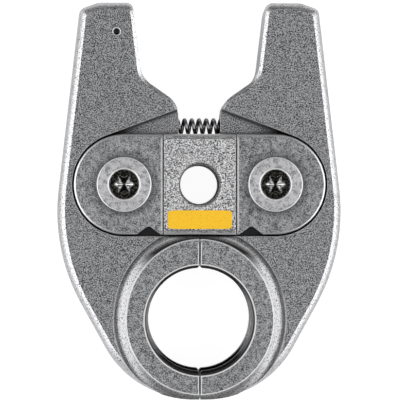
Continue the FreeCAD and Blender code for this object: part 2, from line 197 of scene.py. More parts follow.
class PressJawSizes(bpy.types.PropertyGroup):
    """Sizes of the pieces that are made here."""

    wire: length("Wire", "Diameter of the spring's wire", 1.15)
    active_turns: bpy.props.FloatProperty(
        name="Active turns", description="Open turns of the spring between its closed ends",
        min=3.0, default=9.5)
    closed_turns: bpy.props.FloatProperty(
        name="Closed turns", description="Turns that lie closed at each end of the spring",
        min=0.0, default=1.5)
    washer_edge: length("Washer edge", "Radius of a washer's outer edge", 0.5)
    washer_lip: length("Washer lip", "Radius of the rounded lip of a washer's countersink", 1.2)
    washer_hole: length("Washer hole", "Radius of a washer's hole", 2.8)
    washer_mouth: length("Washer mouth", "Radius of a washer's countersink at its face", 5.1)
    shank: length("Screw shank", "Radius of a screw's shank", 2.5)
    screw_rim: length("Screw rim", "Radius of the rounded rim of a screw's head", 0.16)
    socket_tip: length("Socket tip", "Distance of a socket lobe's tip from the screw's axis", 3.05)
    socket_root: length("Socket hollow", "Distance of a socket's hollow from the screw's axis", 2.1)
    socket_depth: length("Socket depth", "Depth of a screw's socket at its wall", 1.15)
    socket_cone: length("Socket cone", "Further depth of the socket at the screw's axis", 1.25)
    bar_width: length("Bar width", "Width of the painted bar", 20.6)
    bar_height: length("Bar height", "Height of the painted bar", 6.0)
    bar_below: length("Bar below bore", "Distance of the bar's middle below the bore's centre", 11.3)
    paint_film: length("Paint film", "Thickness of the paint", 0.05)


class PressJawStage(bpy.types.PropertyGroup):
    """Camera, lamps and floor."""

    camera_height: length("Camera height", "Height of the lens above the jaw's front face", 600.0)
    picture_width: length("Picture width", "Width that the picture takes in at the front face", 128.0)
    camera_left: length("Camera left", "How far the lens stands left of the jaw's middle", 17.0)
    camera_low: length("Camera low", "How far the lens stands below the tool's bore", 6.0)
    aim_low: length("Aim low", "How far the lens aims below the tool's bore", 5.0)
    side_out: length("Side lamps out", "Distance of each side lamp from the jaw's middle", 750.0)
    side_up: length("Side lamps up", "Height of the side lamps", 460.0)
    side_low: length("Side lamps low", "How far the side lamps stand towards the press ring", 120.0)
    side_width: length("Side lamp width", "Width of each side lamp", 1100.0)
    side_height: length("Side lamp height", "Height of each side lamp's panel", 1350.0)
    top_up: length("Overhead lamp up", "Height of the overhead lamp", 950.0)
    top_width: length("Overhead lamp width", "Width of the overhead lamp", 800.0)
    side_power: bpy.props.FloatProperty(
        name="Side lamps", description="Power of each of the two side lamps", unit="POWER", default=9.0)
    top_power: bpy.props.FloatProperty(
        name="Overhead lamp", description="Power of the overhead lamp", unit="POWER", default=1.3)
    room_light: bpy.props.FloatProperty(
        name="Room light", description="Strength of the grey light of the room", min=0.0, default=0.22)
    floor: colour("Floor", "Pale sweep under the jaw", "#f4f4f4")


def add(tree, kind, inputs=None, output=0, **settings):
    """Adds a shader node with its settings, fills or links its inputs, and gives back one of its outputs.

    Inputs go by name or number. Map Range has its value at 0, the range that it reads at 1 and 2, and the
    range that it gives at 3 and 4, which is 0 to 1 where it isn't set. Mix has its share at 0, two numbers
    at 2 and 3, two colours at 6 and 7, and its colour is output 2. Math has its terms in order.
    """
    node = tree.nodes.new("ShaderNode" + kind)
    for name, value in settings.items():
        setattr(node, name, value)
    for key, value in (inputs or {}).items():
        socket = node.inputs[key]
        if isinstance(value, bpy.types.NodeSocket):
            tree.links.new(value, socket)
        elif socket.type == "RGBA":
            socket.default_value = (*value, 1.0)
        else:
            socket.default_value = value
    return node.outputs[output] if len(node.outputs) else node


def new_material(name):
    """An empty material, its tree, and the place of a point on the piece in metres."""
    material = bpy.data.materials.new(name)
    material.use_nodes = True
    tree = material.node_tree
    tree.nodes.clear()
    return material, tree, add(tree, "TexCoord", output="Object")


def from_middle(tree, place, axis):
    """Distance of a point from the jaw's middle along an axis: 0 for X, 1 for Y and 2 for Z."""
    part = add(tree, "SeparateXYZ", {0: place}, output=axis)
    return add(tree, "Math", {0: part}, operation="ABSOLUTE")


def away_from(tree, place, x, y):
    """Distance of a point from an upright axis at x, y, or from its twin across the jaw's middle."""
    sideways = add(tree, "Math", {0: from_middle(tree, place, 0), 1: x}, operation="SUBTRACT")
    lengthways = add(tree, "SeparateXYZ", {0: place}, output=1)
    lengthways = add(tree, "Math", {0: lengthways, 1: y}, operation="SUBTRACT")
    flat = add(tree, "CombineXYZ", {0: sideways, 1: lengthways})
    return add(tree, "VectorMath", {0: flat}, output="Value", operation="LENGTH")


def lies_level(tree):
    """How level a face lies: 1 where it looks straight up or down, and 0 on an upright wall."""
    facing = add(tree, "SeparateXYZ", {0: add(tree, "TexCoord", output="Normal")}, output=2)
    return add(tree, "Math", {0: facing}, operation="ABSOLUTE")


def rolled_rim(tree):
    """How far a level face has rolled over into a rounded rim."""
    return add(tree, "MapRange", {0: lies_level(tree), 1: 0.985, 2: 0.93})


def bright_edges(tree, tone, look, width, lines):
    """Brightens a piece's edges over a width, partly as steel laid open by wear and partly as a painted
    highlight, and so any lines given as masks, which are painted highlights.

    Gives back the new tone, the normal with its edges rounded, and how much each point is brightened.
    """
    rounded = add(tree, "Bevel", {"Radius": width}, samples=6)
    own = add(tree, "NewGeometry", output="Normal")
    alike = add(tree, "VectorMath", {0: rounded, 1: own}, output="Value", operation="DOT_PRODUCT")
    wear_and_highlight = add(tree, "MapRange", {0: alike, 1: 0.99, 2: 0.86}, interpolation_type="SMOOTHSTEP")
    for line in lines:
        wear_and_highlight = add(tree, "Math", {0: wear_and_highlight, 1: line}, operation="MAXIMUM")
    # The edges take a light tone that is partly wear and partly painted highlight.
    tone = add(tree, "Mix", {0: wear_and_highlight, 6: tone, 7: look.wear_and_highlight_edge}, output=2, data_type="RGBA")
    return tone, rounded, wear_and_highlight


def painted_gap_shade(tree, tone, look):
    """A tone with painted shade over it in deep gaps and holes, and as thin dark lines of painted shade along
    corners.

    A share of open air of 0.5 is that of a point on the line where two faces meet at a right angle.
    """
    # Painted shade: ambient occlusion darkens the tone where shade falls, in gaps and along corners.
    deep = add(tree, "AmbientOcclusion", {"Distance": look.painted_shade_reach}, output="AO", samples=6)
    deep = add(tree, "MapRange", {0: deep, 1: 0.45, 2: 0.2})
    corner = add(tree, "AmbientOcclusion", {"Distance": look.corner_reach}, output="AO", samples=6)
    corner = add(tree, "MapRange", {0: corner, 1: 0.82, 2: 0.62, 4: 0.95})
    painted_shade = add(tree, "Math", {0: deep, 1: corner}, operation="MAXIMUM")
    return add(tree, "Mix", {0: painted_shade, 6: tone, 7: look.painted_shade}, output=2, data_type="RGBA")


def shade(tree, tone, roughness, height, depth, normal, metallic=1.0):
    """Ends a material: a shader with a tone, a roughness and a relief of some depth in metres."""
    relief = add(tree, "Bump", {"Height": height, "Distance": depth, "Normal": normal})
    shader = add(tree, "BsdfPrincipled",
                 {"Base Color": tone, "Metallic": metallic, "Roughness": roughness, "Normal": relief})
    add(tree, "OutputMaterial", {"Surface": shader})


def forged_skin(tree, look, dents, stains, sloping, away):
    """Tone of the forging's skin.

    Level faces have a salt and pepper grain of overlapping dents. Sloping sides are painted brighter as a
    highlight, with dark pits where the dents are deepest, and the cove round the press ring is painted a
    shade darker than they are, as shade.
    """
    grain = add(tree, "Math", {0: stains, 1: 0.12, 2: dents}, operation="MULTIPLY_ADD")
    grain = add(tree, "MapRange", {0: grain, 1: 0.445, 2: 0.675})
    skin = add(tree, "Mix", {0: grain, 6: look.forging_dark, 7: look.forging_light}, output=2,
               data_type="RGBA")
    pits = add(tree, "MapRange", {0: dents, 1: 0.33, 2: 0.48})
    # Painted highlight: the sloping sides take the lighter tone.
    side = add(tree, "Mix", {0: pits, 6: look.forging_dark, 7: look.sloping_highlight}, output=2, data_type="RGBA")
    # Painted shade: the cove round the press ring is darkened towards the forging's dark grain colour.
    cove = add(tree, "MapRange", {0: away, 1: COVE_RADIUS + 0.3 * MM, 2: COVE_RADIUS, 4: 0.22})
    side = add(tree, "Mix", {0: cove, 6: side, 7: look.forging_dark}, output=2, data_type="RGBA")
    return add(tree, "Mix", {0: sloping, 6: skin, 7: side}, output=2, data_type="RGBA")


def bore_tone(tree, look, place, lip, away):
    """Tone of the press ring's bore: painted black as shade at its mouth, with painted highlights on the ribs
    at the left and right sides.
    """
    # Painted highlight: the ribs lighten towards the left and right, where the side lamps shine in.
    sideways = add(tree, "Math", {0: from_middle(tree, place, 0), 1: away}, operation="DIVIDE")
    side_lit = add(tree, "MapRange", {0: sideways, 1: 0.7, 2: 0.95})
    rib_highlight = add(tree, "Mix", {0: side_lit, 6: look.bore, 7: look.rib_highlight}, output=2, data_type="RGBA")
    return add(tree, "Mix", {0: lip, 6: rib_highlight, 7: look.bore}, output=2, data_type="RGBA")


def forging_highlight_lines(tree, height, raised, away, from_hole):
    """Painted highlight lines on the forging: the ring's rim, the centre hole's brim and the brink of the
    groove.
    """
    rim = add(tree, "Math", {0: rolled_rim(tree), 1: raised}, operation="MULTIPLY")
    brim = add(tree, "MapRange", {0: from_hole, 1: CENTRE_HOLE_BRIM + 0.15 * MM,
                                  2: CENTRE_HOLE_BRIM + 0.05 * MM})
    under = add(tree, "MapRange", {0: height, 1: LEVER_FACE_Z - 0.01 * MM, 2: LEVER_FACE_Z - 0.04 * MM})
    brim = add(tree, "Math", {0: brim, 1: under}, operation="MULTIPLY")
    brink = add(tree, "Math", {0: away, 1: GROOVE_BRINK_RADIUS, 2: 0.15 * MM}, operation="COMPARE")
    upper = add(tree, "MapRange",
                {0: height, 1: LEVER_FACE_Z - 1.2 * MM, 2: LEVER_FACE_Z - 1.0 * MM, 4: 0.75})
    brink = add(tree, "Math", {0: brink, 1: upper}, operation="MULTIPLY")
    return rim, brim, brink


def forging_painted_shadow(tree, look, place, height, raised, away, from_hole):
    """Where black is painted on the forging as shade.

    It lies round the press ring on the side of the tie plates, on the recess floor at the tie plates'
    notches, and in the centre hole.
    """
    along = add(tree, "SeparateXYZ", {0: place}, output=1)
    behind = add(tree, "MapRange", {0: along, 1: RING_Y + look.painted_shadow_start, 2: RING_Y + look.painted_shadow_full})
    near = add(tree, "MapRange", {0: away, 1: RING_FACE_RADIUS + look.painted_shadow_fade,
                                  2: RING_FACE_RADIUS + look.painted_shadow_core})
    near = add(tree, "Math", {0: near, 1: raised}, operation="SUBTRACT", use_clamp=True)
    beside = add(tree, "MapRange", {0: away, 1: RING_FACE_RADIUS - 0.1 * MM, 2: RING_FACE_RADIUS})
    for mask in (near, beside):
        behind = add(tree, "Math", {0: behind, 1: mask}, operation="MULTIPLY")

    notch = add(tree, "Math", {0: from_middle(tree, place, 0), 1: NOTCH_X, 2: NOTCH_SHADOW_HALF_WIDTH},
                operation="COMPARE")
    edge = add(tree, "Math", {0: along, 1: NOTCH_SHADOW_Y, 2: NOTCH_SHADOW_HALF_HEIGHT},
               operation="COMPARE")
    notch = add(tree, "Math", {0: notch, 1: edge}, operation="MULTIPLY")
    hole = add(tree, "MapRange", {0: from_hole, 1: CENTRE_HOLE_RADIUS + 0.12 * MM,
                                  2: CENTRE_HOLE_RADIUS + 0.04 * MM})
    hollow = add(tree, "Math", {0: notch, 1: hole}, operation="MAXIMUM")
    sunken = add(tree, "MapRange", {0: height, 1: LEVER_FACE_Z - 0.05 * MM, 2: LEVER_FACE_Z - 0.2 * MM})
    hollow = add(tree, "Math", {0: hollow, 1: sunken}, operation="MULTIPLY")
    return add(tree, "Math", {0: hollow, 1: behind}, operation="MAXIMUM")


def blasted_forging(look):
    """Drop-forged alloy steel, shot blasted, with ground press ring faces and a turned bore.

    The eye gets a fine salt and pepper grain, sloping sides painted brighter as a highlight, bright edges
    that are partly wear and partly painted highlight, smoother blotched faces on the ring with a painted
    bright rim, a bore painted black as shade at its mouth, with painted highlights on its ribs at the sides
    and turning marks, black painted shade in the hollows, and a sheared band where the flash was trimmed.
    """
    material, tree, place = new_material("drop_forged_steel_shot_blasted")
    height = from_middle(tree, place, 2)
    away = away_from(tree, place, RING_X, RING_Y)
    from_hole = away_from(tree, place, CENTRE_HOLE_X, CENTRE_HOLE_Y)
    raised = add(tree, "MapRange", {0: height, 1: LEVER_FACE_Z + 0.35 * MM, 2: LEVER_FACE_Z + 0.45 * MM})
    ring = add(tree, "MapRange", {0: height, 1: LEVER_FACE_Z + 0.6 * MM, 2: LEVER_FACE_Z + 0.9 * MM})
    flash = add(tree, "MapRange", {0: height, 1: look.flash_land * 0.55, 2: look.flash_land * 0.45})
    bore = add(tree, "MapRange", {0: away, 1: BORE_RADIUS, 2: BORE_RADIUS - 0.15 * MM})
    lip = add(tree, "MapRange", {0: height, 1: RIB_FLANK_Z - 0.1 * MM, 2: RIB_FLANK_Z + 0.1 * MM})
    # The bore's mouth is painted black as shade; there it is also rougher and not metallic.
    shaded_mouth = add(tree, "Math", {0: bore, 1: lip}, operation="MULTIPLY")
    sloping = add(tree, "MapRange", {0: lies_level(tree), 1: 0.97, 2: 0.9})
    dents = add(tree, "TexNoise", {"Vector": place, "Scale": 1 / look.blast_grain, "Detail": 3.0})
    stains = add(tree, "TexNoise", {"Vector": place, "Scale": 1 / look.stain_width, "Detail": 6.0})
    upright = add(tree, "Mapping", {"Vector": place, "Scale": (1.0, 1.0, 0.05)})
    shear = add(tree, "TexNoise", {"Vector": upright, "Scale": 1 / look.grind_pitch, "Detail": 2.0})
    turned = add(tree, "Math", {0: height, 1: 2 * math.pi / look.turning_pitch}, operation="MULTIPLY")
    turned = add(tree, "Math", {0: turned}, operation="SINE")
    turned = add(tree, "Math", {0: turned, 1: 0.15}, operation="MULTIPLY")

    skin = forged_skin(tree, look, dents, stains, sloping, away)
    blotch = add(tree, "Math", {0: dents, 1: 2.8, 2: stains}, operation="MULTIPLY_ADD")
    blotch = add(tree, "MapRange", {0: blotch, 1: 1.56, 2: 2.24})
    ground = add(tree, "Mix", {0: blotch, 6: look.ground_dark, 7: look.ground_light}, output=2,
                 data_type="RGBA")
    tone = add(tree, "Mix", {0: ring, 6: skin, 7: ground}, output=2, data_type="RGBA")
    inner = bore_tone(tree, look, place, lip, away)
    tone = add(tree, "Mix", {0: bore, 6: tone, 7: inner}, output=2, data_type="RGBA")
    # Painted highlights: thin bright lines on the ring's rim, the centre hole's brim and the groove's brink.
    lines = forging_highlight_lines(tree, height, raised, away, from_hole)
    tone, rounded, wear_and_highlight = bright_edges(tree, tone, look, look.edge_wear, lines)
    # Painted shade: black where shadow falls round the ring under the plates, at the notches and in the
    # centre hole.
    forging_shade_mask = forging_painted_shadow(tree, look, place, height, raised, away, from_hole)
    tone = add(tree, "Mix", {0: forging_shade_mask, 6: tone, 7: look.painted_shade}, output=2, data_type="RGBA")
    tone = painted_gap_shade(tree, tone, look)

    roughness = add(tree, "MapRange", {0: dents, 1: 0.3, 2: 0.7, 3: 0.34, 4: 0.46})
    roughness = add(tree, "Math", {0: sloping, 1: -0.1, 2: roughness}, operation="MULTIPLY_ADD")
    roughness = add(tree, "Mix", {0: bore, 2: roughness, 3: 0.16}, data_type="FLOAT")
    roughness = add(tree, "Mix", {0: shaded_mouth, 2: roughness, 3: 0.6}, data_type="FLOAT")
    relief = add(tree, "Mix", {0: flash, 2: dents, 3: shear}, data_type="FLOAT")
    relief = add(tree, "Mix", {0: bore, 2: relief, 3: turned}, data_type="FLOAT")
    # A brightened edge is less metallic, so that its painted highlight is bright from every side, and the
    # bore's mouth and the hollows painted black as shade aren't metallic at all.
    metal = add(tree, "MapRange", {0: wear_and_highlight, 3: 1.0, 4: 0.3})
    painted_black = add(tree, "Math", {0: shaded_mouth, 1: forging_shade_mask}, operation="MAXIMUM")
    metal = add(tree, "Math", {0: metal, 1: painted_black}, operation="SUBTRACT", use_clamp=True)
    shade(tree, tone, roughness, relief, 0.07 * MM, rounded, metal)
    return material


def tie_plate_steel(look):
    """Tool steel plate with ground ends and a blasted panel.

    The ends carry fine blotched grain with faint upright grinding marks, and a soft ring of painted shadow
    round each washer. The panel glitters with coarser bright dents and has two painted highlight lines along
    each upright side. The chamfer of the tool's bore is painted dark as shade, and the rounded rims carry a
    painted highlight.
    """
    material, tree, place = new_material("tie_plate_steel_ground_and_blasted")
    across = from_middle(tree, place, 0)
    along = from_middle(tree, place, 1)
    inside = add(tree, "MapRange", {0: across, 1: PANEL_HALF_WIDTH, 2: PANEL_HALF_WIDTH - 0.2 * MM})
    below = add(tree, "MapRange", {0: along, 1: PANEL_HALF_HEIGHT + 0.1 * MM,
                                   2: PANEL_HALF_HEIGHT - 0.1 * MM})
    panel = add(tree, "Math", {0: inside, 1: below}, operation="MULTIPLY")
    # Painted highlight: two bright lines along each upright side of the panel, on the ends at the step.
    inner = add(tree, "Math", {0: across, 1: PANEL_HALF_WIDTH + 0.15 * MM, 2: 0.12 * MM}, operation="COMPARE")
    outer = add(tree, "Math", {0: across, 1: PANEL_HALF_WIDTH + 0.6 * MM, 2: 0.12 * MM}, operation="COMPARE")
    lightened = add(tree, "Math", {0: inner, 1: outer}, operation="MAXIMUM")
    lightened = add(tree, "Math", {0: lightened, 1: below}, operation="MULTIPLY")
    lightened = add(tree, "MapRange", {0: lightened, 4: 0.85})
    from_bore = away_from(tree, place, 0.0, 0.0)
    mouth = add(tree, "MapRange", {0: from_bore, 1: TOOL_BORE_RADIUS + 1.3 * MM,
                                   2: TOOL_BORE_RADIUS + 1.2 * MM})
    chamfer = add(tree, "MapRange", {0: from_bore, 1: TOOL_BORE_RADIUS + 0.6 * MM,
                                     2: TOOL_BORE_RADIUS + 0.5 * MM})
    # Painted highlight: the plate's rounded rims, except at the tool bore's mouth.
    rim = add(tree, "Math", {0: rolled_rim(tree), 1: mouth}, operation="SUBTRACT", use_clamp=True)
    dents = add(tree, "TexNoise", {"Vector": place, "Scale": 1 / look.panel_grain, "Detail": 3.0})
    grain = add(tree, "TexNoise", {"Vector": place, "Scale": 1 / look.blast_grain, "Detail": 3.0})
    stains = add(tree, "TexNoise", {"Vector": place, "Scale": 1 / look.stain_width, "Detail": 6.0})
    upright = add(tree, "Mapping", {"Vector": place, "Scale": (1.0, 0.12, 1.0)})
    marks = add(tree, "TexNoise", {"Vector": upright, "Scale": 1 / look.grind_pitch, "Detail": 3.0})

    blotch = add(tree, "Math", {0: grain, 1: 2.2, 2: stains}, operation="MULTIPLY_ADD")
    blotch = add(tree, "Math", {0: marks, 1: 0.5, 2: blotch}, operation="MULTIPLY_ADD")
    blotch = add(tree, "MapRange", {0: blotch, 1: 1.48, 2: 2.22})
    ends = add(tree, "Mix", {0: blotch, 6: look.ground_dark, 7: look.ground_light}, output=2,
               data_type="RGBA")
    # Painted shadow: a soft dark ring on the plate round each washer, where shade falls.
    painted_shadow = add(tree, "MapRange",
                 {0: away_from(tree, place, PIVOT_X, 0.0), 1: WASHER_RADIUS + look.painted_shadow_reach,
                  2: WASHER_RADIUS, 4: 0.5},
                 interpolation_type="SMOOTHSTEP")
    ends = add(tree, "Mix", {0: painted_shadow, 6: ends, 7: look.painted_shade}, output=2, data_type="RGBA")
    field = add(tree, "MapRange", {0: dents, 1: 0.36, 2: 0.64})
    field = add(tree, "Mix", {0: field, 6: look.panel_dark, 7: look.panel_light}, output=2, data_type="RGBA")
    tone = add(tree, "Mix", {0: panel, 6: ends, 7: field}, output=2, data_type="RGBA")
    # Painted shade: the chamfer of the tool's bore is darkened towards the bore's black.
    chamfer_shade = add(tree, "MapRange", {0: chamfer, 4: 0.65})
    tone = add(tree, "Mix", {0: chamfer_shade, 6: tone, 7: look.bore}, output=2, data_type="RGBA")
    tone, rounded, _ = bright_edges(tree, tone, look, look.edge_wear, (rim, lightened))
    tone = painted_gap_shade(tree, tone, look)

    roughness = add(tree, "MapRange", {0: grain, 1: 0.3, 2: 0.7, 3: 0.34, 4: 0.48})
    worked = add(tree, "Math", {0: marks, 1: grain}, operation="ADD")
    worked = add(tree, "Math", {0: worked, 1: 0.35}, operation="MULTIPLY")
    relief = add(tree, "Mix", {0: panel, 2: worked, 3: dents}, data_type="FLOAT")
    metal = add(tree, "MapRange", {0: mouth, 3: 1.0, 4: 0.4})
    shade(tree, tone, roughness, relief, 0.09 * MM, rounded, metal)
    return material


def turned_washer_steel(look):
    """Turned washer steel, tumbled after turning: light satin with faint rings and some dull patches."""
    material, tree, place = new_material("turned_washer_steel_tumbled")
    away = away_from(tree, place, PIVOT_X, 0.0)
    turned = add(tree, "Math", {0: away, 1: 2 * math.pi / look.turning_pitch}, operation="MULTIPLY")
    rings = add(tree, "Math", {0: turned}, operation="SINE")
    grain = add(tree, "TexNoise", {"Vector": place, "Scale": 1 / look.blast_grain, "Detail": 3.0})
    stains = add(tree, "TexNoise", {"Vector": place, "Scale": 1 / look.stain_width, "Detail": 4.0})

    dull = add(tree, "Math", {0: grain, 1: stains}, operation="ADD")
    dull = add(tree, "MapRange", {0: dull, 1: 0.94, 2: 1.14})
    tone = add(tree, "Mix", {0: dull, 6: look.washer, 7: look.washer_stain}, output=2, data_type="RGBA")
    # Painted highlight on the rounded rims, and painted shade in corners and gaps below.
    tone, rounded, wear_and_highlight = bright_edges(tree, tone, look, look.edge_wear, (rolled_rim(tree),))
    tone = painted_gap_shade(tree, tone, look)
    roughness = add(tree, "MapRange", {0: grain, 1: 0.3, 2: 0.7, 3: 0.28, 4: 0.42})
    relief = add(tree, "Math", {0: rings, 1: 0.15, 2: grain}, operation="MULTIPLY_ADD")
    metal = add(tree, "MapRange", {0: wear_and_highlight, 3: 1.0, 4: 0.3})
    shade(tree, tone, roughness, relief, 0.045 * MM, rounded, metal)
    return material


def hardened_pin_steel(look):
    """Case-hardened pin steel, centreless ground: smooth, with fine marks that run round the pin."""
    material, tree, place = new_material("hardened_pin_steel_ground")
    around = add(tree, "Mapping", {"Vector": place, "Scale": (0.08, 0.08, 1.0)})
    marks = add(tree, "TexNoise", {"Vector": around, "Scale": 1 / look.grind_pitch, "Detail": 3.0})
    tone = add(tree, "Mix", {0: marks, 6: look.pin, 7: look.ground_dark}, output=2, data_type="RGBA")
    roughness = add(tree, "MapRange", {0: marks, 1: 0.3, 2: 0.7, 3: 0.22, 4: 0.34})
    rounded = add(tree, "Bevel", {"Radius": look.edge_wear}, samples=6)
    shade(tree, tone, roughness, marks, 0.01 * MM, rounded)
    return material


def black_oxide_steel(look):
    """Screw steel, blackened in hot oxide.

    It is near black with brown-grey rubbed patches. In the socket, painted glints lighten the lobes to the
    left and right of a black hourglass, which widens by 0.55 mm a side with each millimetre from its waist.
    """
    material, tree, place = new_material("screw_steel_black_oxide")
    height = from_middle(tree, place, 2)
    socket = add(tree, "MapRange", {0: height, 1: SCREW_HIGH.z - 0.1 * MM, 2: SCREW_HIGH.z - 0.3 * MM})
    # Painted glints: the socket's lobes lighten to the left and right, where the side lamps shine in.
    sideways = add(tree, "Math", {0: from_middle(tree, place, 0), 1: PIVOT_X}, operation="SUBTRACT")
    sideways = add(tree, "Math", {0: sideways}, operation="ABSOLUTE")
    beyond = add(tree, "Math", {0: from_middle(tree, place, 1), 1: -0.55, 2: sideways},
                 operation="MULTIPLY_ADD")
    lobes = add(tree, "MapRange", {0: beyond, 1: 0.25 * MM, 2: 0.55 * MM})
    glint_sides = add(tree, "Math", {0: socket, 1: lobes}, operation="MULTIPLY")
    patches = add(tree, "TexNoise", {"Vector": place, "Scale": 0.5 / look.blast_grain, "Detail": 4.0})
    lightened = add(tree, "MapRange", {0: patches, 1: 0.5, 2: 0.6})
    tone = add(tree, "Mix", {0: lightened, 6: look.oxide, 7: look.oxide_rubbed}, output=2, data_type="RGBA")
    socket_glint = add(tree, "MapRange", {0: patches, 1: 0.36, 2: 0.5, 3: 0.4})
    socket_glint = add(tree, "Math", {0: socket_glint, 1: glint_sides}, operation="MULTIPLY")
    tone, rounded, _ = bright_edges(tree, tone, look, look.edge_wear * 0.6, (socket_glint,))
    roughness = add(tree, "MapRange", {0: patches, 1: 0.3, 2: 0.7, 3: 0.2, 4: 0.42})
    shade(tree, tone, roughness, patches, 0.04 * MM, rounded)
    return material


def spring_wire_steel(look):
    """Spring steel wire, drawn, with a light film of oil: fairly glossy grey with faint draw marks, and
    painted shade between the coils.
    """
    material, tree, place = new_material("drawn_spring_wire")
    marks = add(tree, "TexNoise", {"Vector": place, "Scale": 1 / look.blast_grain, "Detail": 2.0})
    tone = add(tree, "Mix", {0: marks, 6: look.spring, 7: look.ground_dark}, output=2, data_type="RGBA")
    # Painted shade: the wire darkens where ambient occlusion finds other coils near.
    air = add(tree, "AmbientOcclusion", {"Distance": look.painted_shade_reach}, output="AO", samples=6)
    painted_shade = add(tree, "MapRange", {0: air, 1: 0.42, 2: 0.12})
    tone = add(tree, "Mix", {0: painted_shade, 6: tone, 7: look.painted_shade}, output=2, data_type="RGBA")
    roughness = add(tree, "MapRange", {0: marks, 1: 0.3, 2: 0.7, 3: 0.2, 4: 0.3})
    shade(tree, tone, roughness, marks, 0.01 * MM, add(tree, "NewGeometry", output="Normal"))
    return material


def yellow_enamel(look):
    """Pad-printed enamel, a thin film: warm yellow that follows the panel's dents and thins out over them."""
    material, tree, place = new_material("yellow_enamel_print")
    dents = add(tree, "TexNoise", {"Vector": place, "Scale": 1 / look.panel_grain, "Detail": 2.0})
    thin = add(tree, "MapRange", {0: dents, 1: 0.42, 2: 0.28, 4: 0.8})
    tone = add(tree, "Mix", {0: thin, 6: look.paint, 7: look.paint_thin}, output=2, data_type="RGBA")
    roughness = add(tree, "MapRange", {0: dents, 1: 0.3, 2: 0.7, 3: 0.36, 4: 0.5})
    shade(tree, tone, roughness, dents, 0.05 * MM, add(tree, "NewGeometry", output="Normal"), metallic=0.0)
    return material


def new_piece(name, mesh, material, crease):
    """A piece with one material, smooth up to a crease angle, with its flat faces kept flat."""
    mesh.materials.clear()
    mesh.materials.append(material)
    mesh.polygons.foreach_set("use_smooth", np.ones(len(mesh.polygons), bool))
    mesh.set_sharp_from_angle(angle=math.radians(crease))
    piece = bpy.data.objects.new(name, mesh)
    bpy.context.scene.collection.objects.link(piece)
    flat = piece.modifiers.new("flat faces stay flat", "WEIGHTED_NORMAL")
    flat.mode = "FACE_AREA"
    flat.weight = 100
    flat.keep_sharp = True
    return piece


def finished_copy(node, body, material, crease=34):
    """A CAD node's own surface, joined and without its stored normals.

    Narrow facets then shade as one round.
    """
    mesh = frame["nodes"][node].data.copy()
    mesh.name = node + "_finish"
    joined = bmesh.new()
    joined.from_mesh(mesh)
    bmesh.ops.remove_doubles(joined, verts=joined.verts, dist=0.002 * MM)
    joined.to_mesh(mesh)
    joined.free()
    if "custom_normal" in mesh.attributes:
        mesh.attributes.remove(mesh.attributes["custom_normal"])
    piece = new_piece(node + "_finish", mesh, material, crease)
    frame["nodes"][node].material_slots[0].material = material
    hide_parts(node)
    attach(piece, body)
    return piece


def grid_mesh(name, rows, closed_ends=()):
    """A mesh from rows of points of one size, each row closed in a ring.

    The first and the last row get a flat cap where closed_ends names them. Points that fall together are
    merged, which closes a row that has shrunk to a point, and a profile that ends where it starts.
    """
    count = rows.shape[1]
    row, column = np.meshgrid(np.arange(rows.shape[0] - 1), np.arange(count), indexing="ij")
    here = row * count + column
    beside = row * count + (column + 1) % count
    faces = np.stack([here, beside, beside + count, here + count], axis=-1).reshape(-1, 4).tolist()
    last = (rows.shape[0] - 1) * count
    if "first" in closed_ends:
        faces.append(list(range(count))[::-1])
    if "last" in closed_ends:
        faces.append(list(range(last, last + count)))
    mesh = bpy.data.meshes.new(name)
    mesh.from_pydata(rows.reshape(-1, 3).tolist(), [], faces)
    joined = bmesh.new()
    joined.from_mesh(mesh)
    bmesh.ops.remove_doubles(joined, verts=joined.verts, dist=0.0002 * MM)
    bmesh.ops.recalc_face_normals(joined, faces=joined.faces)
    joined.to_mesh(mesh)
    joined.free()
    return mesh


def rounded_corner(before, corner, after, radius, steps):
    """Points of the arc that rounds a corner between two straight stretches, from the tangent points inwards.

    The tangent points lie radius / tan(half the corner's angle) from the corner, and the arc turns evenly.
    """
    before, corner, after = (np.array(place, float) for place in (before, corner, after))
    back = (before - corner) / np.linalg.norm(before - corner)
    ahead = (after - corner) / np.linalg.norm(after - corner)
    half = math.acos(float(np.clip(back @ ahead, -1, 1))) / 2
    middle = corner + (back + ahead) / np.linalg.norm(back + ahead) * radius / math.sin(half)
    first = corner + back * radius / math.tan(half) - middle
    last = corner + ahead * radius / math.tan(half) - middle
    turn = math.pi - 2 * half
    share = np.linspace(0, 1, steps)[:, None]
    return middle + (first * np.sin((1 - share) * turn) + last * np.sin(share * turn)) / math.sin(turn)


def turned_rows(profile, centre_x, up, segments=144):
    """Rows of points of a profile of (radius, height) carried round an upright axis.

    up is 1 for a piece on the front and -1 for its mirror image on the back.
    """
    angle = np.linspace(0, 2 * np.pi, segments, endpoint=False)
    radius, height = np.array(profile).T
    x = centre_x + radius[:, None] * np.cos(angle)
    y = radius[:, None] * np.sin(angle)
    z = np.repeat(height[:, None] * up, segments, axis=1)
    return np.stack([x, y, z], axis=-1)


def corner_place(corner):
    """The pivot's place along X of a corner such as "front_left", and +1 for the front or -1 for the back."""
    return (-PIVOT_X if corner.endswith("left") else PIVOT_X), (1 if corner.startswith("front") else -1)


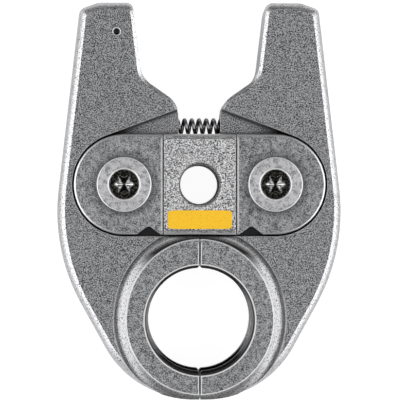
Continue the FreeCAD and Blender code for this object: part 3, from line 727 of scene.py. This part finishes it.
def washer_mesh(name, sizes, corner):
    """Washer: a closed profile turned about the pivot.

    It runs up the hole, out along the countersink's cone, over the face, round the outer edge's quarter
    circle, down the outer wall and back along the seat.
    """
    top, bottom, outer = WASHER_HIGH.z, WASHER_LOW.z, WASHER_RADIUS
    hole, mouth = sizes.washer_hole, sizes.washer_mouth
    break_edge = 0.1 * MM
    cone_foot = (hole, top - (mouth - hole))
    lip = rounded_corner(cone_foot, (mouth, top), (outer, top), sizes.washer_lip, 9)
    edge = rounded_corner((mouth, top), (outer, top), (outer, bottom), sizes.washer_edge, 9)
    seat = [(outer, bottom + break_edge), (outer - break_edge, bottom), (hole, bottom)]
    profile = [(hole, bottom), cone_foot, *lip, *edge, *seat]
    x, up = corner_place(corner)
    return grid_mesh(name, turned_rows(profile, x, up))


def screw_mesh(name, sizes, corner):
    """Countersunk screw with a six-lobed socket.

    Outside, the profile is turned: shank, 45 degree cone, rounded rim, face. The socket's outline is
    root + (tip - root) * ((1 + cos 6a) / 2) ** 1.4 at angle a. It has a bevel, nearly upright walls, and a
    floor that falls to the axis as a shallow cone. Each row is a share of that outline, grown by a width.
    """
    top, tip, head = SCREW_HIGH.z, SCREW_LOW.z, SCREW_RADIUS
    point_chamfer, rim_height = 0.6 * MM, 0.1 * MM
    cone_foot = top - head + sizes.shank
    rim_foot = (head, top - rim_height)
    rim = rounded_corner((sizes.shank, cone_foot), rim_foot, (head, top), sizes.screw_rim * 0.4, 3)
    over = rounded_corner(rim_foot, (head, top), (0, top), sizes.screw_rim * 0.6, 4)
    point = [(0, tip), (sizes.shank - point_chamfer, tip), (sizes.shank, tip + point_chamfer)]
    outside = [*point, (sizes.shank, cone_foot), *rim, *over]
    x, up = corner_place(corner)
    outer_rows = turned_rows(outside, x, up)

    angle = np.linspace(0, 2 * np.pi, outer_rows.shape[1], endpoint=False)
    lobes = sizes.socket_root + (sizes.socket_tip - sizes.socket_root) * ((1 + np.cos(6 * angle)) / 2) ** 1.4
    bevel = 0.14 * MM
    floor = top - sizes.socket_depth
    rows = []
    for share, grow, level in (
        (1.0, bevel + 0.03 * MM, top),
        (1.0, bevel, top),
        (1.0, 0.0, top - bevel),
        (0.985, 0.0, top - 2 * bevel),
        (0.95, 0.0, floor),
        (0.9, 0.0, floor - 0.1 * sizes.socket_cone),
        (0.5, 0.0, floor - 0.5 * sizes.socket_cone),
        (0.12, 0.0, floor - 0.92 * sizes.socket_cone),
        (0.0, 0.0, floor - sizes.socket_cone),
    ):
        radius = lobes * share + grow
        heights = np.full_like(angle, level * up)
        rows.append(np.stack([x + radius * np.cos(angle), radius * np.sin(angle), heights], axis=-1))
    return grid_mesh(name, np.concatenate([outer_rows, np.array(rows)]))


def half_spring_mesh(name, sizes, side):
    """One half of the return spring, from its middle to its closed end.

    At turn t the wire's centre stands at the mean radius, at an angle of 2 pi t about the X axis. Its place
    along X grows by the pitch each turn. Within half a turn the pitch eases from the open one to just over
    the wire's own diameter for the closed end. Each section is a circle across the wire's direction.
    """
    radius = (SPRING_HIGH.y - SPRING_LOW.y - sizes.wire) / 2
    half_length = (SPRING_HIGH.x - SPRING_LOW.x - sizes.wire) / 2
    open_turns = sizes.active_turns / 2
    closed_pitch = sizes.wire * 1.03
    open_pitch = (half_length - sizes.closed_turns * closed_pitch) / open_turns
    turn = np.linspace(0.0, open_turns + sizes.closed_turns, 240)
    ease = np.clip((turn - open_turns) / 0.5 + 0.5, 0.0, 1.0)
    pitch = open_pitch + (closed_pitch - open_pitch) * ease * ease * (3 - 2 * ease)
    along = np.concatenate([[0.0], np.cumsum((pitch[1:] + pitch[:-1]) / 2 * np.diff(turn))])
    along *= half_length / along[-1]
    angle = 2 * np.pi * turn * side
    outward = np.stack([np.zeros_like(angle), np.cos(angle), np.sin(angle)], axis=1)
    axis = np.stack([along * side, np.full_like(along, SPRING_Y), np.zeros_like(along)], axis=1)
    centre = outward * radius + axis
    direction = np.gradient(centre, axis=0)
    direction /= np.linalg.norm(direction, axis=1, keepdims=True)
    across = np.cross(direction, outward)
    around = np.linspace(0.0, 2 * np.pi, 16, endpoint=False)[None, :, None]
    section = outward[:, None] * np.cos(around) + across[:, None] * np.sin(around)
    return grid_mesh(name, centre[:, None] + section * sizes.wire / 2, ("first", "last"))


def paint_bar_mesh(name, sizes):
    """Plain bar of paint: its outline is a superellipse of power 10, raised by the thickness of the film."""
    angle = np.linspace(0.0, 2 * np.pi, 192, endpoint=False)
    reach = (np.abs(np.cos(angle)) ** 10 + np.abs(np.sin(angle)) ** 10) ** -0.1
    base = PLATE_HIGH.z - PANEL_DEPTH
    rows = []
    for shrink, level in ((1.0, -0.2), (1.0, 0.6), (0.997, 1.0)):
        x = reach * np.cos(angle) * sizes.bar_width / 2 * shrink
        y = reach * np.sin(angle) * sizes.bar_height / 2 * shrink - sizes.bar_below
        rows.append(np.stack([x, y, np.full_like(x, base + level * sizes.paint_film)], axis=-1))
    return grid_mesh(name, np.array(rows), ("first", "last"))


class PRESSJAW_OT_levers(bpy.types.Operator):
    """Give the two forged levers their blasted skin"""

    bl_idname = "press_jaw.levers"
    bl_label = "Finish Levers"

    def execute(self, context):
        material = blasted_forging(context.scene.press_jaw_finish)
        for node, body in LEVERS.items():
            finished_copy(node, body, material, 20)
        return {"FINISHED"}


class PRESSJAW_OT_tie_plates(bpy.types.Operator):
    """Give the tie plates their ground ends and blasted panel"""

    bl_idname = "press_jaw.tie_plates"
    bl_label = "Finish Tie Plates"

    def execute(self, context):
        material = tie_plate_steel(context.scene.press_jaw_finish)
        for node in PLATES:
            finished_copy(node, FRAME_BODY, material)
        return {"FINISHED"}


class PRESSJAW_OT_pins(bpy.types.Operator):
    """Give the pivot pins their ground finish"""

    bl_idname = "press_jaw.pins"
    bl_label = "Finish Pivot Pins"

    def execute(self, context):
        material = hardened_pin_steel(context.scene.press_jaw_finish)
        for node in PINS:
            frame["nodes"][node].material_slots[0].material = material
        return {"FINISHED"}


class PRESSJAW_OT_washers(bpy.types.Operator):
    """Turn the four washers, with round edges and a satin finish"""

    bl_idname = "press_jaw.washers"
    bl_label = "Turn Washers"

    def execute(self, context):
        scene = context.scene
        material = turned_washer_steel(scene.press_jaw_finish)
        for corner in CORNERS:
            name = corner + "_washer"
            mesh = washer_mesh(name, scene.press_jaw_sizes, corner)
            piece = new_piece(name + "_turned", mesh, material, 30)
            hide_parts(name)
            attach(piece, FRAME_BODY)
        return {"FINISHED"}


class PRESSJAW_OT_screws(bpy.types.Operator):
    """Make the four black screws with their six-lobed sockets"""

    bl_idname = "press_jaw.screws"
    bl_label = "Make Screws"

    def execute(self, context):
        scene = context.scene
        material = black_oxide_steel(scene.press_jaw_finish)
        for corner in CORNERS:
            name = corner + "_screw"
            mesh = screw_mesh(name, scene.press_jaw_sizes, corner)
            piece = new_piece(name + "_lobed", mesh, material, 30)
            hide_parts(name)
            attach(piece, FRAME_BODY)
        return {"FINISHED"}


class PRESSJAW_OT_spring(bpy.types.Operator):
    """Coil the return spring in two halves, one at each lever that it pushes"""

    bl_idname = "press_jaw.spring"
    bl_label = "Coil Return Spring"

    def execute(self, context):
        scene = context.scene
        material = spring_wire_steel(scene.press_jaw_finish)
        for side, end, lever in ((-1, SPRING_LOW.x, "left_lever"), (1, SPRING_HIGH.x, "right_lever")):
            name = SPRING + "_" + lever.split("_")[0] + "_half"
            piece = new_piece(name, half_spring_mesh(name, scene.press_jaw_sizes, side), material, 60)
            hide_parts(SPRING)
            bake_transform(piece)
        return {"FINISHED"}


class PRESSJAW_OT_paint_bar(bpy.types.Operator):
    """Print the plain yellow bar on the front tie plate"""

    bl_idname = "press_jaw.paint_bar"
    bl_label = "Print Yellow Bar"

    def execute(self, context):
        scene = context.scene
        mesh = paint_bar_mesh("paint_bar", scene.press_jaw_sizes)
        piece = new_piece("paint_bar", mesh, yellow_enamel(scene.press_jaw_finish), 40)
        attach(piece, FRAME_BODY)
        return {"FINISHED"}


def faced(place, target):
    """The turn of a lamp or camera at a place that looks at a target, with +Y up in its view."""
    back = (Vector(place) - Vector(target)).normalized()
    right = Vector((0.0, 1.0, 0.0)).cross(back).normalized()
    return Matrix((right, back.cross(right), back)).transposed().to_euler()


def area_lamp(name, place, target, width, height, power):
    """A rectangular lamp at a place, turned to a target."""
    data = bpy.data.lights.new(name, "AREA")
    data.shape = "RECTANGLE"
    data.size = width
    data.size_y = height
    data.energy = power
    lamp = bpy.data.objects.new(name, data)
    bpy.context.scene.collection.objects.link(lamp)
    lamp.location = place
    lamp.rotation_euler = faced(place, target)


def pale_sweep(stage):
    """Matt pale floor, which the camera sees as white, apart from the jaw's own faint shadow.

    The camera sees a glow of 0.94, and a dark grey that the lamps lift to white where no shadow falls.
    """
    material, tree, _ = new_material("pale_sweep")
    camera = add(tree, "LightPath", output="Is Camera Ray")
    glass = add(tree, "LightPath", output="Is Transmission Ray")
    seen = add(tree, "Math", {0: camera, 1: glass}, operation="MAXIMUM")
    matt = add(tree, "BsdfDiffuse", {"Color": stage.floor})
    glow = add(tree, "Emission", {"Color": (1.0, 1.0, 1.0), "Strength": 0.94})
    faint = add(tree, "BsdfDiffuse", {"Color": (0.2, 0.2, 0.2)})
    white = add(tree, "AddShader", {0: glow, 1: faint})
    add(tree, "OutputMaterial", {"Surface": add(tree, "MixShader", {0: seen, 1: matt, 2: white})})
    return material


class PRESSJAW_OT_stage(bpy.types.Operator):
    """Lay the floor, and set up the lamps, the room light and the camera"""

    bl_idname = "press_jaw.stage"
    bl_label = "Set Stage"

    def execute(self, context):
        scene = context.scene
        stage = scene.press_jaw_stage
        low, high = CAD_BOX
        scene.view_settings.view_transform = "Standard"

        mesh = bpy.data.meshes.new("floor")
        reach = 3.0
        corners = [(x * reach, y * reach, low.z) for x, y in ((-1, -1), (1, -1), (1, 1), (-1, 1))]
        mesh.from_pydata(corners, [], [(0, 1, 2, 3)])
        mesh.materials.append(pale_sweep(stage))
        floor = bpy.data.objects.new("floor", mesh)
        scene.collection.objects.link(floor)

        for name, side in (("left_softbox", -1), ("right_softbox", 1)):
            place = (side * stage.side_out, -stage.side_low, stage.side_up)
            target = (0.0, -stage.side_low, 0.0)
            area_lamp(name, place, target, stage.side_width, stage.side_height, stage.side_power)
        area_lamp("overhead_softbox", (0.0, 0.0, stage.top_up), (0.0, 0.0, 0.0),
                  stage.top_width, stage.top_width, stage.top_power)

        world = bpy.data.worlds.new("pale_room")
        world.use_nodes = True
        background = world.node_tree.nodes["Background"]
        background.inputs["Color"].default_value = (0.9, 0.9, 0.9, 1.0)
        background.inputs["Strength"].default_value = stage.room_light
        scene.world = world

        data = bpy.data.cameras.new("camera")
        data.sensor_width = 36.0
        data.lens = data.sensor_width * stage.camera_height / stage.picture_width
        camera = bpy.data.objects.new("camera", data)
        scene.collection.objects.link(camera)
        camera.location = (-stage.camera_left, -stage.camera_low, high.z + stage.camera_height)
        camera.rotation_euler = faced(camera.location, (0.0, -stage.aim_low, high.z))
        scene.camera = camera
        return {"FINISHED"}


class PRESSJAW_PT_panel(bpy.types.Panel):
    """Lists the steps that finish the jaw, with its colours and sizes"""

    bl_idname = "PRESSJAW_PT_panel"
    bl_label = "Press Jaw"
    bl_space_type = "VIEW_3D"
    bl_region_type = "UI"
    bl_category = "Press Jaw"

    def draw(self, context):
        scene = context.scene
        for operator in OPERATORS:
            self.layout.operator(operator.bl_idname)
        for group in (scene.press_jaw_finish, scene.press_jaw_sizes, scene.press_jaw_stage):
            column = self.layout.column()
            for name in group.__annotations__:
                column.prop(group, name)


OPERATORS = (
    PRESSJAW_OT_levers,
    PRESSJAW_OT_tie_plates,
    PRESSJAW_OT_pins,
    PRESSJAW_OT_washers,
    PRESSJAW_OT_screws,
    PRESSJAW_OT_spring,
    PRESSJAW_OT_paint_bar,
    PRESSJAW_OT_stage,
)
CLASSES = (PressJawFinish, PressJawSizes, PressJawStage, *OPERATORS, PRESSJAW_PT_panel)


def register():
    for cls in CLASSES:
        bpy.utils.register_class(cls)
    bpy.types.Scene.press_jaw_finish = bpy.props.PointerProperty(type=PressJawFinish)
    bpy.types.Scene.press_jaw_sizes = bpy.props.PointerProperty(type=PressJawSizes)
    bpy.types.Scene.press_jaw_stage = bpy.props.PointerProperty(type=PressJawStage)


def unregister():
    del bpy.types.Scene.press_jaw_stage
    del bpy.types.Scene.press_jaw_sizes
    del bpy.types.Scene.press_jaw_finish
    for cls in reversed(CLASSES):
        bpy.utils.unregister_class(cls)


def main():
    register()
    bpy.ops.press_jaw.levers()
    bpy.ops.press_jaw.tie_plates()
    bpy.ops.press_jaw.pins()
    bpy.ops.press_jaw.washers()
    bpy.ops.press_jaw.screws()
    bpy.ops.press_jaw.spring()
    bpy.ops.press_jaw.paint_bar()
    bpy.ops.press_jaw.stage()


if __name__ == "__main__":
    main()
